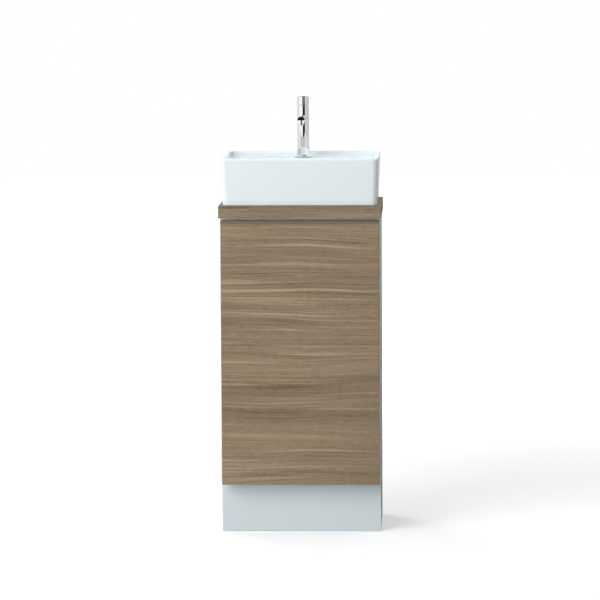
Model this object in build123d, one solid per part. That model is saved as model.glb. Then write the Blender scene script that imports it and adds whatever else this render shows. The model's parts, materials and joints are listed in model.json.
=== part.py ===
from build123d import *
import os
from math import tan, radians, sqrt

# Compact vanity unit: a ceramic basin on a counter, over a one-door cabinet, with tap, waste and valve.
# Millimetres. X runs to the right, Y towards the wall, Z up. The origin is on the floor, in the middle
# of the footprint.

# Basin casting
basin_width = 348.0
basin_depth = 304.0
basin_height = 105.0
basin_front_rake = 34.0        # how far the foot stands back from the rim at the front
basin_side_taper = 3.6         # and on each side
basin_front_corner = 12.0
basin_back_corner = 5.0
basin_wall = 10.0
rim_width = 8.0
rim_lip = 5.0                  # upright part of the rim's outside
rim_round = 2.6
bowl_length = 185.0            # front to back, inside the rim
drain_above_foot = 22.0        # bowl floor at the drain, above the casting's foot
dish_fall = 7.0                # from the floor's back edge down to the drain
floor_fall = 24.0              # from the floor's front edge down to its back edge
bowl_side_draft = 27.0         # degrees from upright
bowl_front_draft = 30.0
bowl_back_draft = 3.5
bowl_corner = 14.0
bowl_floor_round = 5.0
dish_inset = 12.0              # outline of the dish round the drain, from the walls
dish_margin = 0.6              # between the dish and the rounding of the back wall
dish_corner = 8.0
deck_recess = 10.0
deck_edge_round = 3.0
hollow_corner = 1.0            # least rounding of the hollow's upright corners
drain_to_wall = 30.0           # drain axis to the bowl's back edge
drain_shoulder = 1.2           # level floor round the drain hole
tap_behind_bowl = 42.0         # tap axis behind the bowl's back edge
seal_thickness = 1.0
seal_width = 6.0
seal_inset = 3.0

# Counter
counter_overhang = 2.5         # counter beyond each side panel
counter_thickness = 27.0
counter_top_z = 734.0
counter_setback = 20.0         # counter front behind the front of the rim
counter_edge_round = 1.0
counter_waste_hole_dia = 72.0
counter_tap_hole_dia = 46.0

# Cabinet
carcass_width = 355.0
panel_thickness = 15.0
toe_height = 114.0
plinth_setback = 48.0          # plinth front behind the door front
pad_dia = 12.0
pad_seat = 3.0
pad_stand = 1.0                # how far the foot pads lift the panels
back_thickness = 4.0
back_rebate = 6.0
rail_depth = 60.0
wall_rail_height = 75.0
wall_hole_dia = 6.0
wall_hole_spacing = 240.0
service_width = 190.0
service_height = 210.0
service_offset = 25.0
shelf_drop = 40.0              # shelf's underside below the service opening
shelf_clearance = 1.0
shelf_setback = 14.0
pin_dia = 5.0
pin_collar_dia = 8.0
pin_length = 16.0
pin_seat = 8.0
pin_inset = 40.0
pin_pitch = 32.0
pin_levels = 3

# Door and its hinges
door_reveal = 2.5              # side panel edge showing beside the door
door_thickness = 18.0
door_drop = 1.0                # door below the bottom panel
door_top_gap = 5.0
door_setback = 1.0             # door front behind the counter front
door_gap = 4.0                 # door back to carcass front
door_edge_round = 1.0
hinge_end = 92.0               # hinge centre from each end of the door
cup_dia = 35.0
cup_depth = 11.5
cup_wall = 1.0
cup_edge = 3.0                 # bore edge from the door edge
cup_flange = 1.5
cup_ring_dia = 37.0
cup_wing_length = 62.0
cup_wing_width = 13.0
cup_wing_corner = 3.0
cup_screw_spacing = 48.0
cup_clearance = 0.1
pivot_inset = 5.0              # hinge pivot inside the bore's edge
hinge_pin_dia = 3.0
hinge_eye_dia = 5.2
eye_clearance = 0.4            # arm's eye to the cup's floor
hinge_fit = 0.05
arm_thickness = 2.4
arm_height = 9.0
arm_reach = 13.0               # gooseneck stands this far inboard of the pivot
arm_length = 66.0
arm_bend = 3.5
arm_cross_start = 8.0          # arm crosses to the side panel between these depths in the carcass
arm_cross_end = 16.0
plate_thickness = 2.0
plate_length = 46.0
plate_height = 46.0
plate_arm = 12.0
plate_screw_spacing = 32.0
plate_screw_grip = 10.0        # length of a plate screw in the side panel

# Push latch
latch_inset = 54.5             # latch axis from the side panel
latch_width = 16.0
latch_height = 14.0
latch_length = 52.0
latch_ear = 9.0
latch_ear_thickness = 3.0
latch_screw_grip = 9.0         # length of a latch screw in the rail
latch_setback = 2.0            # housing front behind the carcass front
latch_wall = 3.0
latch_corner = 3.0
plunger_dia = 7.0
plunger_fit = 0.1
plunger_cap_dia = 9.0
plunger_cap = 2.0
magnet_dia = 6.0
magnet_depth = 3.0
strike_dia = 15.0
strike_thickness = 1.5
strike_screw_length = 12.0
touch_clearance = 0.3

# Tap
tap_dia = 28.0
tap_height = 137.5             # above the deck
spigot_gap = 0.5               # spout's spigot to the cartridge
foot_ring_dia = 40.0
foot_ring_height = 3.6
foot_ring_round = 2.2
tap_gasket_thickness = 0.8
tap_gasket_inset = 1.0
tap_shank_dia = 20.95
tap_shank_length = 58.0
tap_bore_dia = 10.0
column_bevel = 0.5
deck_hole_dia = 24.0
tap_washer_dia = 38.0
tap_washer_thickness = 3.0
tap_nut_height = 8.0
tap_nut_flats = 30.0
knob_height = 20.5
knob_gap = 0.6
knob_wall = 2.0
knob_boss_dia = 13.0
knob_edge = 0.8
cartridge_dia = 19.0
cartridge_length = 27.0
cartridge_fit = 0.1
cartridge_nut_length = 6.0
spindle_dia = 8.0
spindle_seat = 10.0            # how far the spindle stands in the cartridge
spindle_fit = 0.05
spout_dia = 16.6
spout_height = 87.5            # spout axis above the deck
spout_reach = 108.0            # tap axis to the tip
spout_bore_dia = 11.0
spout_spigot_dia = 13.0
spout_bevel = 38.0             # upper half of the tip leans back, degrees
nozzle_dia = 13.0
nozzle_setback = 8.6           # nozzle axis behind the tip
nozzle_drop = 3.2              # below the underside of the spout
nozzle_bore_dia = 9.0
nozzle_seat = 4.0
nozzle_bevel = 0.6
former_bar = 1.2               # cross of the stream former
former_bite = 0.5              # its ends in the nozzle's wall
former_rise = 1.5              # its lower edge above the nozzle's mouth

# Waste and trap
drain_hole_dia = 30.5
waste_ledge_depth = 8.0        # flange seat below the bowl floor
waste_boss_dia = 50.0
waste_boss_lift = 2.0          # end of the boss above the casting's foot
waste_pipe_dia = 25.4
waste_pipe_wall = 1.6
waste_fit = 0.4
waste_flange_thickness = 2.4
waste_flange_bevel = 1.0
waste_body_length = 56.0
strainer_bar = 3.0
waste_seal_dia = 45.0
waste_seal_thickness = 3.0
waste_nut_height = 8.0
waste_nut_flats = 38.0
tail_insert = 9.0              # length of the tail pipe in the trap
trap_bend_radius = 33.0
trap_leg = 40.0
socket_wall = 2.3
socket_length = 18.0
socket_step = 2.0              # solid wall below a socket's floor
pipe_stop = 1.0                # outlet pipe's end above its socket's floor
union_wall = 3.5
union_height = 19.0
union_bevel = 1.2
union_flutes = 8
flute_dia = 4.4
flute_offset = 1.0             # flute axis outside the nut
flute_end = 3.0                # plain edge beyond each end of a flute
outlet_drop = 34.0             # outlet pipe's axis below the wall rail
outlet_bend_radius = 30.0
outlet_rise = 30.0             # straight stretch above the trap socket
wall_plate_dia = 58.0
wall_plate_thickness = 5.0
wall_plate_crown_dia = 36.0
wall_plate_edge = 1.0

# Supply and stop valve
supply_pipe_dia = 12.7
supply_pipe_wall = 1.0
supply_bend_radius = 40.0
supply_offset = 70.0           # valve axis beside the tap axis
supply_drop = 6.0              # straight stretch below the counter before the offset
valve_lift = 48.0              # valve axis above the foot of the service opening
valve_body_dia = 24.0
valve_outlet_dia = 18.0
valve_outlet_length = 32.0
valve_inlet_dia = 20.95
valve_bonnet_dia = 20.0
valve_bonnet_length = 27.0
valve_bonnet_bevel = 1.5
valve_stem_dia = 7.0
valve_stem_length = 18.5
valve_stem_seat = 12.0
valve_stem_fit = 0.05
handle_dia = 34.0
handle_thickness = 9.0
handle_gap = 1.5
handle_lobes = 4
handle_hub_dia = 24.5
handle_lobe_dia = 13.0
handle_bevel = 1.0
supply_nut_wall = 2.5
supply_nut_height = 15.0

# Fasteners
small_screw_dia = 3.5
small_head_dia = 7.0
small_head = 2.0
small_screw_length = 15.0
counter_screw_grip = 12.0      # length of a screw in the counter
counter_screw_spacing = 110.0
bracket_screw_grip = 10.0      # length of a bracket screw in the wood
cam_dia = 15.0
cam_depth = 12.0
cam_setback = 24.0             # cam centre from the end of its panel
cam_bolt_dia = 6.0
cam_bolt_seat = 9.0            # length of the bolt in the side panel
bracket_leg = 28.0
bracket_screw_inset = 17.0     # from the corner
bracket_thickness = 2.0
bracket_width = 20.0
bracket_spacing = 160.0
fit = 0.1                      # radial play of a screw or nut on what it holds
nut_corner_cut = 0.8           # share of a hexagon's corner that its cone takes
low_head = 0.8                 # head of a cup's screw
low_head_bevel = 1.0
screw_point = 3.0
plate_head = 1.2
arm_head_edge = 1.4            # upright part of an arm screw's head
handle_head = 1.6
handle_head_edge = 0.6
knob_screw_dia = 3.0

# Places and sizes worked out from the ones above
wall_y = basin_depth / 2
rim_front_y = wall_y - basin_depth
counter_front_y = rim_front_y + counter_setback
door_front_y = counter_front_y + door_setback
door_back_y = door_front_y + door_thickness
carcass_front_y = door_back_y + door_gap
plinth_front_y = door_front_y + plinth_setback
plinth_back_y = plinth_front_y + panel_thickness
counter_bottom_z = counter_top_z - counter_thickness
door_top_z = counter_bottom_z - door_top_gap
foot_z = counter_top_z + seal_thickness
boss_z = foot_z + waste_boss_lift
rim_z = foot_z + basin_height
deck_z = rim_z - deck_recess
bowl_back_y = rim_front_y + rim_width + bowl_length
drain_y = bowl_back_y - drain_to_wall
tap_y = bowl_back_y + tap_behind_bowl
inner_x = carcass_width / 2 - panel_thickness
counter_width = carcass_width + 2 * counter_overhang
bottom_top_z = toe_height + panel_thickness
rail_bottom_z = counter_bottom_z - panel_thickness
wall_rail_bottom_z = counter_bottom_z - wall_rail_height
service_bottom_z = wall_rail_bottom_z - service_height
shelf_z = service_bottom_z - shelf_drop
bowl_floor_z = foot_z + drain_above_foot
bowl_back_depth = rim_z - bowl_floor_z - dish_fall
bowl_front_depth = bowl_back_depth - floor_fall
door_width = carcass_width - 2 * door_reveal
door_bottom_z = toe_height - door_drop
pivot_x = -door_width / 2 + cup_edge + pivot_inset
pivot_y = door_back_y - cup_depth + cup_wall + eye_clearance + hinge_eye_dia / 2
cup_x = -door_width / 2 + cup_edge + cup_dia / 2
hinge_pin_half = sqrt((cup_dia / 2 - cup_clearance) ** 2 - (cup_x - pivot_x + hinge_pin_dia / 2) ** 2)
latch_x = inner_x - latch_inset
outlet_z = wall_rail_bottom_z - outlet_drop
trap_out_z = outlet_z - outlet_bend_radius - outlet_rise
trap_bend_z = trap_out_z - socket_length
trap_in_z = trap_bend_z + trap_leg
socket_dia = waste_pipe_dia + 2 * socket_wall
union_dia = socket_dia + 2 * union_wall
valve_z = service_bottom_z + valve_lift
hinge_heights = (door_bottom_z + hinge_end, door_top_z - hinge_end)
spout_z = deck_z + spout_height
tip_y = tap_y - spout_reach
knob_bottom_z = deck_z + tap_height - knob_height
supply_y = tap_y
valve_x = supply_offset


def board(x0, x1, y0, y1, z0, z1):
    """A board between two opposite corners."""
    return Pos((x0 + x1) / 2, (y0 + y1) / 2, (z0 + z1) / 2) * Box(x1 - x0, y1 - y0, z1 - z0)


def rod(radius, z0, z1, x=0.0, y=0.0):
    """An upright cylinder."""
    return Pos(x, y, (z0 + z1) / 2) * Cylinder(radius, z1 - z0)


def rod_x(radius, x0, x1, y, z):
    """A cylinder along X."""
    return Pos((x0 + x1) / 2, y, z) * Rot(0, 90, 0) * Cylinder(radius, x1 - x0)


def rod_y(radius, y0, y1, x, z):
    """A cylinder along Y."""
    return Pos(x, (y0 + y1) / 2, z) * Rot(90, 0, 0) * Cylinder(radius, y1 - y0)


def tube(outer, inner, z0, z1, x=0.0, y=0.0):
    """An upright tube of two radii."""
    return rod(outer, z0, z1, x, y) - rod(inner, z0, z1, x, y)


def hex_nut(flats, bore, z0, z1, x=0.0, y=0.0):
    """A hexagon nut, its corners turned round by a short cone."""
    corner = flats / sqrt(3)
    prism = Pos(x, y, z0) * extrude(RegularPolygon(corner, 6), z1 - z0)
    turned = Pos(x, y, (z0 + z1) / 2) * chamfer(
        Cylinder(corner, z1 - z0).edges().filter_by(GeomType.CIRCLE), (corner - flats / 2) * nut_corner_cut)
    return (prism & turned) - rod(bore, z0, z1, x, y)


def turned(profile, x=0.0, y=0.0):
    """A revolved piece: profile points are (radius, height), closed along the outline."""
    outline = make_face(Polyline(*[(r, 0, z) for r, z in profile], close=True))
    return Pos(x, y, 0) * revolve(outline, Axis.Z)


def quad(plane, front_half, back_half, y0, y1, front_radius, back_radius):
    """A rounded trapezoid on a plane: wider or narrower at the back than at the front."""
    shape = Polygon((-front_half, y0), (front_half, y0), (back_half, y1), (-back_half, y1), align=None)
    corners = shape.vertices().sort_by(Axis.Y)
    shape = fillet(corners[:2], front_radius)
    corners = shape.vertices().sort_by(Axis.Y)
    shape = fillet(corners[-2:], back_radius)
    return plane * shape


def basin_outline(z, inset):
    """The casting's outer outline at one height, drawn in by an inset."""
    share = (rim_z - rim_lip - z) / (basin_height - rim_lip)
    half = basin_width / 2 - basin_side_taper * share - inset
    front = rim_front_y + basin_front_rake * share + inset
    return quad(Plane.XY.offset(z), half, half, front, wall_y - inset,
                max(basin_front_corner - inset, hollow_corner), max(basin_back_corner - inset, hollow_corner))


def bowl_form(grow):
    """The bowl as two solids: drafted walls down to a sloping floor, and the dish round the drain."""
    side = tan(radians(bowl_side_draft))
    half = basin_width / 2 - rim_width + grow
    front = rim_front_y + rim_width - grow
    back = front + bowl_length + 2 * grow
    front_drop = bowl_front_depth + grow
    back_drop = bowl_back_depth + grow
    y0 = front + front_drop * tan(radians(bowl_front_draft))
    y1 = back - back_drop * tan(radians(bowl_back_draft))
    fall = Vector(0, y1 - y0, front_drop - back_drop)
    sloping = Plane((0, y0, rim_z - front_drop), x_dir=(1, 0, 0), z_dir=Vector(1, 0, 0).cross(fall))
    corner = bowl_corner + grow / 2
    front_half = half - front_drop * side
    back_half = half - back_drop * side
    top = quad(Plane.XY.offset(rim_z), half, half, front, back, corner, corner)
    floor = quad(sloping, front_half, back_half, 0, fall.length, corner, corner)
    dish = quad(sloping, front_half - dish_inset, back_half - dish_inset, dish_inset,
                fall.length - bowl_floor_round - dish_margin, dish_corner, dish_corner)
    flat = drain_hole_dia / 2 + drain_shoulder + grow
    low = quad(Plane.XY.offset(bowl_floor_z - grow), flat, flat, drain_y - flat, drain_y + flat,
               dish_corner, dish_corner)
    return loft([top, floor], ruled=True), loft([dish, low], ruled=True)


def bowl():
    """The bowl cavity, its walls rounded into the floor."""
    walls, dish = bowl_form(0)
    floor = walls.faces().sort_by(Axis.Z)[0]
    return fillet(floor.edges(), bowl_floor_round) + dish


def basin():
    """Ceramic basin: thin rim, recessed tap deck, drafted bowl falling to the drain, hollow underside."""
    lip = basin_outline(rim_z - rim_lip, 0)
    shell = loft([basin_outline(foot_z, 0), lip], ruled=True) + extrude(lip, rim_lip, dir=(0, 0, 1))
    shell = fillet(shell.edges().group_by(Axis.Z)[-1], rim_round)
    inner_half = basin_width / 2 - rim_width
    pocket = quad(Plane.XY.offset(deck_z), inner_half, inner_half, bowl_back_y - bowl_corner,
                  wall_y - rim_width, bowl_corner - deck_edge_round, basin_back_corner)
    pocket = extrude(pocket, deck_recess)
    pocket = fillet(pocket.edges().group_by(Axis.Z)[0].sort_by(Axis.Y)[1:], deck_edge_round)
    body = shell - bowl() - pocket

    grown_walls, grown_dish = bowl_form(basin_wall)
    under_bowl = loft([basin_outline(foot_z, basin_wall), basin_outline(bowl_floor_z + 2 * basin_wall,
                                                                        basin_wall)], ruled=True)
    under_deck = basin_outline(foot_z, basin_wall) & (
        Plane.XY.offset(foot_z) * Rectangle(2 * basin_width, basin_depth, align=(Align.CENTER, Align.MIN))
        .moved(Location((0, bowl_back_y + basin_wall, 0))))
    under_deck = extrude(under_deck, deck_under_z() - foot_z)
    hollow = (under_bowl + under_deck) - grown_walls - grown_dish
    boss = rod(waste_boss_dia / 2, boss_z, bowl_floor_z, 0, drain_y)
    body = body - (hollow - boss)

    body = body - rod(drain_hole_dia / 2, waste_ledge_z(), rim_z, 0, drain_y)
    body = body - rod(waste_pipe_dia / 2 + waste_fit, foot_z, waste_ledge_z(), 0, drain_y)
    return body - rod(deck_hole_dia / 2, deck_under_z(), rim_z, 0, tap_y)


def basin_seal():
    """Bead of sealant between the foot of the basin and the counter."""
    outer = quad(Plane.XY.offset(counter_top_z), *seal_sizes(seal_inset))
    inner = quad(Plane.XY.offset(counter_top_z), *seal_sizes(seal_inset + seal_width))
    return extrude(outer, seal_thickness) - extrude(inner, seal_thickness)


def seal_sizes(inset):
    """Outline of the basin's foot, drawn in."""
    half = basin_width / 2 - basin_side_taper - inset
    return (half, half, rim_front_y + basin_front_rake + inset, wall_y - inset,
            basin_front_corner - inset / 2, basin_back_corner)


def counter():
    """Counter board with its waste and tap holes."""
    half = counter_width / 2
    top = board(-half, half, counter_front_y, wall_y, counter_bottom_z, counter_top_z)
    front = top.faces().sort_by(Axis.Y)[0]
    top = fillet(front.edges(), counter_edge_round)
    top -= rod(counter_waste_hole_dia / 2, counter_bottom_z, counter_top_z, 0, drain_y)
    for x in counter_screw_places():
        top -= rod(small_screw_dia / 2, counter_bottom_z, counter_bottom_z + counter_screw_grip, x,
                   carcass_front_y + rail_depth / 2)
    top -= rod(counter_tap_hole_dia / 2, counter_bottom_z, counter_top_z, 0, tap_y)
    return top - bracket_screw_holes()


def pin_places():
    """Front and back columns of shelf pins, as Y values."""
    return (carcass_front_y + pin_inset, wall_y - back_thickness - pin_inset)


def cam_rows():
    """Where cams join the panels to the sides: Y, Z of the panel's middle, Z of its underside."""
    middle = toe_height + panel_thickness / 2
    rail_middle = rail_bottom_z + panel_thickness / 2
    return ((carcass_front_y + pin_inset, middle, toe_height),
            (wall_y - back_thickness - pin_inset, middle, toe_height),
            (carcass_front_y + rail_depth / 2, rail_middle, rail_bottom_z))


def side_panel(side):
    """Side panel down to the floor, notched for toes and plinth, with its bored holes; side is -1 or 1."""
    outline = Polygon((plinth_back_y, pad_stand), (plinth_back_y, toe_height),
                      (carcass_front_y, toe_height), (carcass_front_y, counter_bottom_z),
                      (wall_y, counter_bottom_z), (wall_y, pad_stand), align=None)
    panel = Pos(inner_x, 0, 0) * extrude(Plane.YZ * outline, panel_thickness, dir=(1, 0, 0))
    panel -= board(inner_x, inner_x + back_rebate, wall_y - back_thickness, wall_y, toe_height,
                   wall_rail_bottom_z)
    for y in pin_places():
        for level in range(pin_levels):
            z = shelf_z - pin_dia / 2 + (level - 1) * pin_pitch
            panel -= rod_x(pin_dia / 2, inner_x, inner_x + pin_seat, y, z)
    for y, z, _ in cam_rows():
        panel -= rod_x(cam_bolt_dia / 2, inner_x, inner_x + cam_bolt_seat, y, z)
    for y in pad_places():
        panel -= rod(pad_dia / 2, pad_stand, pad_stand + pad_seat, inner_x + panel_thickness / 2, y)
    return panel if side > 0 else mirror(panel, Plane.YZ) - plate_screws()


def pad_places():
    """Front and back foot pads, as Y values."""
    return (plinth_back_y + pad_dia, wall_y - pad_dia)


def foot_pads():
    """Plastic pads let into the undersides of the side panels."""
    pads = []
    for side in (-1, 1):
        for y in pad_places():
            x = side * (inner_x + panel_thickness / 2)
            radius = pad_dia / 2
            pads.append(turned(((0, 0), (radius - pad_stand, 0), (radius, pad_stand),
                                (radius, pad_stand + pad_seat), (0, pad_stand + pad_seat)), x, y))
    return pads


def bottom_panel():
    """Cabinet floor, with cam bores in its underside."""
    panel = board(-inner_x, inner_x, carcass_front_y, wall_y - back_thickness, toe_height, bottom_top_z)
    return panel - cam_bores(toe_height)


def cam_bores(face_z):
    """Bores for the cams and their bolts in the panel whose underside is at this height."""
    bores = []
    for side in (-1, 1):
        for y, z, face in cam_rows():
            if face == face_z:
                x = side * (inner_x - cam_setback)
                bores.append(rod(cam_dia / 2, face, face + cam_depth, x, y))
                ends = sorted((x, side * inner_x))
                bores.append(rod_x(cam_bolt_dia / 2, ends[0], ends[1], y, z))
    return bores


def cam_locks():
    """Cam discs, slotted for a driver."""
    discs = []
    for side in (-1, 1):
        for y, _, face in cam_rows():
            x = side * (inner_x - cam_setback)
            disc = rod(cam_dia / 2 - fit, face, face + cam_depth, x, y)
            discs.append(disc - cam_throat(x, y, face + panel_thickness / 2, side))
    return discs


def cam_throat(x, y, z, side):
    """Room in a cam disc for the head of its bolt."""
    ends = sorted((x, x + side * cam_dia))
    return rod_x(cam_bolt_dia / 2, ends[0], ends[1], y, z)


def cam_bolts():
    """Cam bolts from the side panels into the cams."""
    bolts = []
    for side in (-1, 1):
        for y, z, _ in cam_rows():
            ends = sorted((side * (inner_x - cam_setback), side * (inner_x + cam_bolt_seat)))
            bolts.append(rod_x(cam_bolt_dia / 2 - fit, ends[0], ends[1], y, z))
    return bolts


def back_panel():
    """Thin back, notched from its top edge for the pipes."""
    half = inner_x + back_rebate - fit
    panel = board(-half, half, wall_y - back_thickness, wall_y, toe_height, wall_rail_bottom_z)
    middle = service_offset
    return panel - board(middle - service_width / 2, middle + service_width / 2, wall_y - back_thickness,
                         wall_y, service_bottom_z, wall_rail_bottom_z)


def top_front_rail():
    """Rail under the front of the counter."""
    rail = board(-inner_x, inner_x, carcass_front_y, carcass_front_y + rail_depth, rail_bottom_z,
                 counter_bottom_z)
    rail = rail - cam_bores(rail_bottom_z)
    for x in counter_screw_places():
        rail -= rod(small_screw_dia / 2 + fit, rail_bottom_z, counter_bottom_z, x,
                    carcass_front_y + rail_depth / 2)
    return rail - latch_screws()


def counter_screw_places():
    """Screws through the front rail into the counter."""
    return (-counter_screw_spacing / 2, counter_screw_spacing / 2)


def counter_screws():
    """Pan head screws up through the front rail into the counter."""
    length = panel_thickness + counter_screw_grip
    return [Pos(x, carcass_front_y + rail_depth / 2, rail_bottom_z) * pan_screw(length)
            for x in counter_screw_places()]


def pan_screw(length):
    """A pan head screw driven upwards, its head's seat at the origin."""
    radius = small_head_dia / 2
    shank = small_screw_dia / 2
    return turned(((0, length), (shank, length), (shank, 0), (radius, 0), (radius, -small_head / 2),
                   (radius / 2, -small_head), (0, -small_head)))


def wall_rail():
    """Rail across the back, with the holes for the wall screws."""
    rail = board(-inner_x, inner_x, wall_y - panel_thickness, wall_y, wall_rail_bottom_z, counter_bottom_z)
    for side in (-1, 1):
        rail -= rod_y(wall_hole_dia / 2, wall_y - panel_thickness, wall_y, side * wall_hole_spacing / 2,
                      wall_rail_bottom_z + wall_rail_height / 2)
    return rail - bracket_screw_holes()


def bracket_places():
    """Counter brackets, as X values."""
    return (-bracket_spacing / 2, bracket_spacing / 2)


def bracket_screw_places(x):
    """Seats of one bracket's two screws: one up into the counter, one back into the wall rail."""
    y = wall_y - panel_thickness
    return (Pos(x, y - bracket_screw_inset, counter_bottom_z - bracket_thickness),
            Pos(x, y - bracket_thickness, counter_bottom_z - bracket_screw_inset) * Rot(-90, 0, 0))


def bracket_screw_holes():
    """The bracket screws' shanks, to be cut from what they go into."""
    return [place * pan_screw(bracket_thickness + bracket_screw_grip)
            for x in bracket_places() for place in bracket_screw_places(x)]


def counter_brackets():
    """Angle brackets that tie the counter to the wall rail."""
    brackets = []
    y = wall_y - panel_thickness
    z = counter_bottom_z
    leg = bracket_leg
    outline = Polygon((y, z), (y - leg, z), (y - leg, z - bracket_thickness),
                      (y - bracket_thickness, z - bracket_thickness), (y - bracket_thickness, z - leg),
                      (y, z - leg), align=None)
    for x in bracket_places():
        angle = extrude(Plane.YZ * outline, bracket_width, dir=(1, 0, 0))
        brackets.append(Pos(x - bracket_width / 2, 0, 0) * angle - bracket_screw_holes())
    return brackets


def bracket_screws():
    """Screws that hold the counter brackets."""
    return bracket_screw_holes()


def plinth_board():
    """Recessed plinth, across the front of both sides."""
    half = carcass_width / 2
    return board(-half, half, plinth_front_y, plinth_back_y, pad_stand, toe_height)


def shelf():
    """Loose shelf on pins."""
    half = inner_x - shelf_clearance
    return board(-half, half, carcass_front_y + shelf_setback, wall_y - back_thickness - shelf_clearance,
                 shelf_z, shelf_z + panel_thickness)


def shelf_pins():
    """Steel pins with a collar, two to a side."""
    pins = []
    for side in (-1, 1):
        for y in pin_places():
            z = shelf_z - pin_dia / 2
            ends = sorted((side * (inner_x - pin_length + pin_seat), side * (inner_x + pin_seat)))
            collar = sorted((side * inner_x, side * (inner_x - shelf_clearance)))
            pins.append(rod_x(pin_dia / 2, ends[0], ends[1], y, z)
                        + rod_x(pin_collar_dia / 2, collar[0], collar[1], y, z))
    return pins


def door_panel():
    """Door with cup bores in its back."""
    half = door_width / 2
    panel = board(-half, half, door_front_y, door_back_y, door_bottom_z, door_top_z)
    panel = fillet(panel.faces().sort_by(Axis.Y)[0].edges(), door_edge_round)
    for z in hinge_heights:
        panel -= rod_y(cup_dia / 2, door_back_y - cup_depth, door_back_y, cup_x, z)
        for side in (-1, 1):
            panel -= rod_y(small_screw_dia / 2, door_back_y + cup_flange - small_screw_length, door_back_y,
                           cup_x, z + side * cup_screw_spacing / 2)
    return panel - rod_y(small_screw_dia / 2, door_back_y + strike_thickness - strike_screw_length,
                         door_back_y, latch_x, latch_z())


def hinge_cups():
    """Pressed cups with winged flanges, screwed into the door."""
    cups = []
    for z in hinge_heights:
        radius = cup_dia / 2 - cup_clearance
        wing = RectangleRounded(cup_wing_width, cup_wing_length, cup_wing_corner) + Circle(cup_ring_dia / 2)
        for side in (-1, 1):
            wing -= Pos(0, side * cup_screw_spacing / 2) * Circle(small_screw_dia / 2 + fit)
        plate = Plane((cup_x, door_back_y, z), x_dir=(1, 0, 0), z_dir=(0, 1, 0)) * extrude(wing, cup_flange)
        shell = rod_y(radius, door_back_y - cup_depth, door_back_y, cup_x, z)
        inside = rod_y(radius - cup_wall, door_back_y - cup_depth + cup_wall, door_back_y + cup_flange,
                       cup_x, z)
        pin = rod(hinge_pin_dia / 2, z - hinge_pin_half, z + hinge_pin_half, pivot_x, pivot_y)
        lugs = hinge_lugs(z) & rod_y(radius - cup_wall / 2, door_back_y - cup_depth, door_back_y, cup_x, z)
        cups.append(((plate + shell) - inside + lugs) - pin)
    return cups


def hinge_lugs(z):
    """Two lugs in the cup that hold the ends of the pin, above and below the arm."""
    start = arm_height / 2 + touch_clearance
    lugs = []
    for side in (-1, 1):
        ends = sorted((z + side * start, z + side * hinge_pin_half))
        lugs.append(rod(hinge_eye_dia / 2, ends[0], ends[1], pivot_x, pivot_y)
                    + board(pivot_x - hinge_eye_dia / 2, pivot_x + hinge_eye_dia / 2,
                            door_back_y - cup_depth, pivot_y, ends[0], ends[1]))
    return lugs[0] + lugs[1]


def hinge_pins():
    """Pins that the door turns on."""
    return [rod(hinge_pin_dia / 2, z - hinge_pin_half, z + hinge_pin_half, pivot_x, pivot_y)
            for z in hinge_heights]


def cup_screws():
    """Countersunk screws through the cup wings into the door."""
    screws = []
    for z in hinge_heights:
        for side in (-1, 1):
            place = Pos(cup_x, door_back_y + cup_flange, z + side * cup_screw_spacing / 2) * Rot(-90, 0, 0)
            screws.append(place * flat_screw())
    return screws


def flat_screw():
    """A screw with a low head: head at the origin, shank downwards."""
    radius = small_head_dia / 2
    shank = small_screw_dia / 2
    depth = small_screw_length
    return turned(((0, low_head), (radius - low_head_bevel, low_head), (radius, 0), (shank, 0),
                   (shank, screw_point - depth), (0, -depth)))


def arm_route():
    """Middle line of a hinge arm: across from the pivot, back through the gap, and along the side panel."""
    neck_x = pivot_x + arm_reach
    plate_x = -inner_x + plate_thickness + arm_thickness / 2
    return FilletPolyline((pivot_x, pivot_y, 0), (neck_x, pivot_y, 0),
                          (neck_x, carcass_front_y + arm_cross_start, 0),
                          (plate_x, carcass_front_y + arm_cross_end, 0),
                          (plate_x, pivot_y + arm_length, 0), radius=arm_bend)


def hinge_arms():
    """Gooseneck arms: an eye round the pin and a strip bent back to the mounting plate."""
    arms = []
    for z in hinge_heights:
        route = arm_route()
        start = Plane(route @ 0, x_dir=(0, 1, 0), z_dir=route % 0)
        strip = sweep(start * Rectangle(arm_thickness, arm_height), path=route)
        eye = Pos(pivot_x, pivot_y, 0) * Cylinder(hinge_eye_dia / 2, arm_height)
        arm = strip + eye - Pos(pivot_x, pivot_y, 0) * Cylinder(hinge_pin_dia / 2 + hinge_fit, arm_height)
        arm -= rod_x(small_screw_dia / 2 + fit, -inner_x, 0, arm_screw_y(), 0)
        arms.append(Pos(0, 0, z) * arm)
    return arms


def arm_screw_y():
    """Screw that ties an arm to its plate."""
    return pivot_y + arm_length - arm_height


def hinge_plates():
    """Cross-shaped mounting plates on the left side panel."""
    plates = []
    y0 = pivot_y + arm_length - plate_length
    for z in hinge_heights:
        bar = board(-inner_x, -inner_x + plate_thickness, y0, y0 + plate_length, z - plate_arm / 2,
                    z + plate_arm / 2)
        middle = plate_screw_y()
        cross = board(-inner_x, -inner_x + plate_thickness, middle - plate_arm / 2, middle + plate_arm / 2,
                      z - plate_height / 2, z + plate_height / 2)
        plate = bar + cross
        plate -= rod_x(small_screw_dia / 2 + fit, -inner_x, 0, arm_screw_y(), z)
        for side in (-1, 1):
            plate -= rod_x(small_screw_dia / 2 + fit, -inner_x, 0, middle, z + side * plate_screw_spacing / 2)
        plates.append(plate)
    return plates


def plate_screw_y():
    """Line of the mounting plate's screws."""
    return pivot_y + arm_length - plate_length / 2


def plate_screws():
    """Screws of the mounting plates."""
    return [Pos(-inner_x + plate_thickness, plate_screw_y(), z + side * plate_screw_spacing / 2)
            * Rot(0, 90, 0) * plate_screw() for z in hinge_heights for side in (-1, 1)]


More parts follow.
